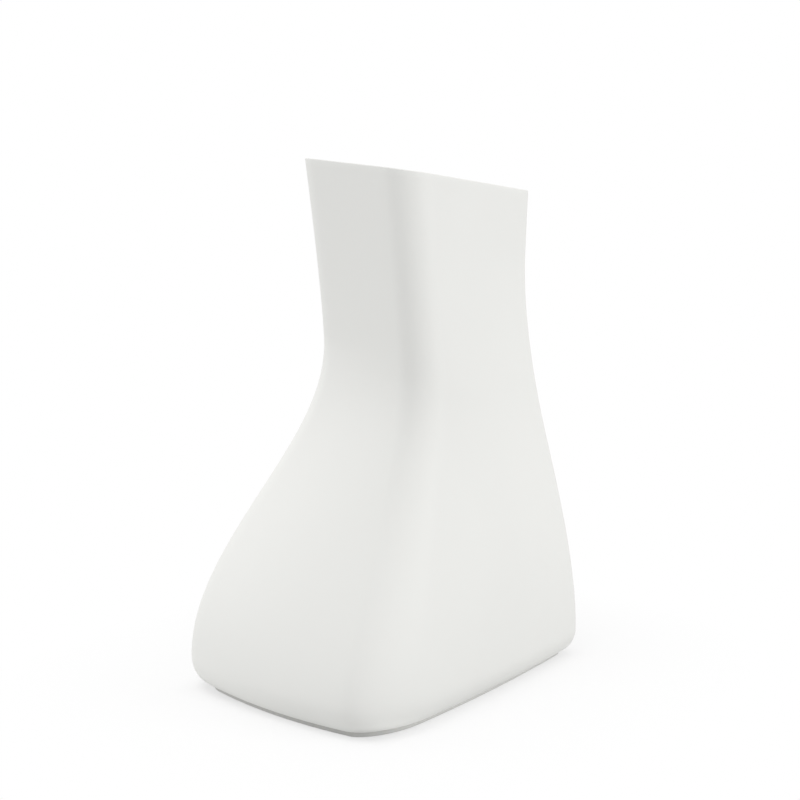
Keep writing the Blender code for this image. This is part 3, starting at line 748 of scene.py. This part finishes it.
# %% Fastener finishes
zinc, finish, place = new_finish("zinc_plating")
clouds = finish.noise(place, 420.0, 3.0)
finish.surface(
    Base_Color=finish.blend(clouds, (0.55, 0.57, 0.61), (0.68, 0.66, 0.59)),
    Roughness=0.28 + finish.noise(place, 1900.0) * 0.16,
    Metallic=1.0,
    Normal=finish.bump(finish.noise(place, 2600.0), 0.12, 0.0001),
)
coat(zinc, *[nodes[f"plinth_screw_{k}"] for k in range(1, 7)])

brass, finish, place = new_finish("turned_brass")
rings = finish.node(
    "ShaderNodeTexWave",
    {"wave_type": "BANDS", "bands_direction": "Z"},
    {"Vector": place, "Scale": 900.0, "Distortion": 0.6, "Detail": 1.0},
    output="Fac",
)
tarnish = finish.noise(place, 260.0, 3.0)
finish.surface(
    Base_Color=finish.blend(tarnish, (0.80, 0.62, 0.30), (0.66, 0.48, 0.22)),
    Roughness=0.24 + tarnish * 0.2 + rings * 0.06,
    Metallic=1.0,
    Normal=finish.bump(rings, 0.15, 0.0001),
)
coat(brass, *[nodes[f"threaded_insert_{k}"] for k in range(1, 7)])

# %% [markdown]
# ## Bucket plastic
# The bucket is dark grey polypropylene with a satin face. It has been lifted in and out, so its walls
# carry fine upright scuffs, and a dull band of lime shows how high the water usually stands. The scuffs
# are a noise stretched along the height, and the band is worked out from the height itself.

# %% Polypropylene finish
plastic, finish, place = new_finish("dark_grey_polypropylene")
height = finish.node("ShaderNodeSeparateXYZ", {}, {0: place}, output="Z")
long_grain = finish.node("ShaderNodeMapping", {}, {"Vector": place, "Scale": (1.0, 1.0, 0.06)})
scuffs = finish.ramp(finish.noise(long_grain, 520.0, 3.0, 0.6), (0.58, 0.0), (0.72, 1.0))
mottle = finish.noise(place, 60.0, 3.0)
ripple = (finish.noise(place, 22.0, 3.0) - 0.5) * 0.03
water_line = finish.ramp(height + ripple, (0.40, 0.0), (0.43, 1.0), (0.47, 0.0))
grey = finish.blend(mottle, (0.125, 0.132, 0.140), (0.158, 0.165, 0.174))
scuffed = finish.blend(scuffs * 0.30, grey, (0.27, 0.275, 0.28))
finish.surface(
    Base_Color=finish.blend(water_line * mottle * 0.30, scuffed, (0.42, 0.42, 0.40)),
    Roughness=0.38 + scuffs * 0.16 + (mottle - 0.5) * 0.10,
    Normal=finish.bump(finish.noise(place, 1100.0), 0.16, 0.0002),
)
coat(plastic, bucket)

# %% [markdown]
# ## Galvanised wire and grip sleeve
# Hot zinc sets on the wire in small crystals, called spangle, each a little brighter or duller than the
# next. Voronoi cells give every crystal its own tone. The grip sleeve is black plastic, worn smoother
# where the hand takes hold of its rings.

# %% Wire and sleeve finishes
galvanised, finish, place = new_finish("galvanised_wire")
cells = {"Vector": place, "Scale": 420.0}
crystals = finish.node("ShaderNodeTexVoronoi", {"feature": "F1"}, cells, output="Color")
spangle = finish.node("ShaderNodeSeparateColor", {}, {0: crystals}, output=0)
haze = finish.noise(place, 130.0, 3.0)
finish.surface(
    Base_Color=finish.blend(spangle, (0.56, 0.57, 0.58), (0.72, 0.73, 0.74)),
    Roughness=0.26 + spangle * 0.14 + haze * 0.12,
    Metallic=1.0,
    Normal=finish.bump(haze + spangle * 0.3, 0.10, 0.0002),
)
coat(galvanised, bail)

sleeve, finish, place = new_finish("black_grip_sleeve")
leather = finish.noise(place, 1400.0, 2.0)
worn = finish.ramp(finish.noise(place, 45.0, 3.0), (0.42, 0.0), (0.66, 1.0))
finish.surface(
    Base_Color=finish.blend(worn * 0.4, (0.030, 0.030, 0.033), (0.075, 0.075, 0.078)),
    Roughness=0.58 - worn * 0.18 + (leather - 0.5) * 0.1,
    Normal=finish.bump(leather, 0.35, 0.0003),
)
coat(sleeve, grip)

# %% [markdown]
# ## Floor
# The vase stands on a wide white floor that runs out into a white room. To the camera most of the floor
# should be plain white, but close to the vase it has to keep the soft shadow that seats it. So the rays
# that look at the floor see a matte white, which turns into an even glow with growing distance. All
# other rays meet painted light and shade: a pale strip round the foot and a grey floor beyond it, which
# sets how much light comes back up. Right under the foot the strip is painted darker in front and paler
# at the right, so the plinth shows a painted shade line on one side and a painted light line on the other.

# %% Lay the floor
FLOOR_HALF = 9.0
UNDER_VASE = (0.17, 0.23, 0)  # half width and half depth of the patch under the plinth
FAR_GREY = (0.47, 0.47, 0.47)
bm = bmesh.new()
bmesh.ops.create_grid(bm, x_segments=2, y_segments=2, size=FLOOR_HALF)
floor_mesh = bpy.data.meshes.new("studio_floor")
bm.to_mesh(floor_mesh)
bm.free()
floor = bpy.data.objects.new("studio_floor", floor_mesh)
scene.collection.objects.link(floor)

paint, finish, place = new_finish("studio_white")
beyond = finish.node("ShaderNodeVectorMath", {"operation": "ABSOLUTE"}, {0: place})
beyond = finish.node("ShaderNodeVectorMath", {"operation": "SUBTRACT"}, {0: beyond, 1: UNDER_VASE})
beyond = finish.node("ShaderNodeVectorMath", {"operation": "MAXIMUM"}, {0: beyond, 1: (0, 0, 0)})
distance = finish.node("ShaderNodeVectorMath", {"operation": "LENGTH"}, {0: beyond}, output="Value")
side = finish.node("ShaderNodeSeparateXYZ", {}, {0: place}, output="X")
near = finish.ramp(distance, (0.018, 1.0), (0.036, 0.0))
right = finish.ramp(side, (0.16, 0.0), (0.182, 1.0))
# Painted light and shade in the floor's bounce colour: paler towards the left, darker right under the foot
# but paler under its right edge, and grey further out, so less light comes back up.
painted_bounce_tone = 0.88 - side * 0.45 - right * 0.20 + near * (right * 0.68 - 0.24)
painted_bounce_floor = finish.blend(finish.ramp(distance, (0.03, 0.0), (0.11, 1.0)), painted_bounce_tone, FAR_GREY)
dull = {"Base Color": painted_bounce_floor, "Roughness": 1.0, "Specular IOR Level": 0.0}
bounce = finish.node("ShaderNodeBsdfPrincipled", {}, dull)
matte = finish.node("ShaderNodeBsdfDiffuse", {}, {"Color": (0.9, 0.9, 0.9, 1)})
glow = finish.node("ShaderNodeEmission", {}, {"Color": (1, 1, 1, 1), "Strength": 1.0})
open_floor = finish.ramp(distance, (0.0, 0.55), (0.03, 0.75), (0.30, 1.0))
seen = finish.node("ShaderNodeMixShader", {}, {0: open_floor, 1: matte, 2: glow})
shown = finish.node("ShaderNodeMixShader", {}, {0: finish.white_rays(), 1: bounce, 2: seen})
finish.node("ShaderNodeOutputMaterial", {}, {"Surface": shown})
coat(paint, floor)

# %% [markdown]
# ## Light
# The studio is bright and soft. A white room gives an even light from all sides, and three large soft
# boxes model the faces: one at the right, a weaker one at the front left, and one above the front. So
# the right face is a little brighter than the front of the neck, which leans over and turns away from
# the light above. The room itself shows plain white to the camera and in reflections.

# %% Room and soft boxes
ROOM_LIGHT = 0.85
BOX_SIZE = 1.2
BOX_AIM = Vector((0, 0, 0.4))
room = scene.world or bpy.data.worlds.new("white_room")
scene.world = room
finish = Finish(room)
dim = finish.node("ShaderNodeBackground", {}, {"Color": (1, 1, 1, 1), "Strength": ROOM_LIGHT})
bright = finish.node("ShaderNodeBackground", {}, {"Color": (1, 1, 1, 1), "Strength": 1.0})
shown = finish.node("ShaderNodeMixShader", {}, {0: finish.white_rays(), 1: dim, 2: bright})
finish.node("ShaderNodeOutputWorld", {}, {"Surface": shown})


def soft_box(name, place, watts):
    lamp = bpy.data.lights.new(name, "AREA")
    lamp.shape = "SQUARE"
    lamp.size = BOX_SIZE
    lamp.energy = watts
    box = bpy.data.objects.new(name, lamp)
    box.location = place
    box.rotation_euler = (BOX_AIM - Vector(place)).to_track_quat("-Z", "Y").to_euler()
    scene.collection.objects.link(box)
    print(name, watts, "W")


soft_box("right_box", (2.66, 0.71, 0.89), 20.2)
soft_box("left_box", (-2.39, -1.38, 0.89), 13.0)
soft_box("overhead_box", (0, -1.31, 2.87), 14.0)
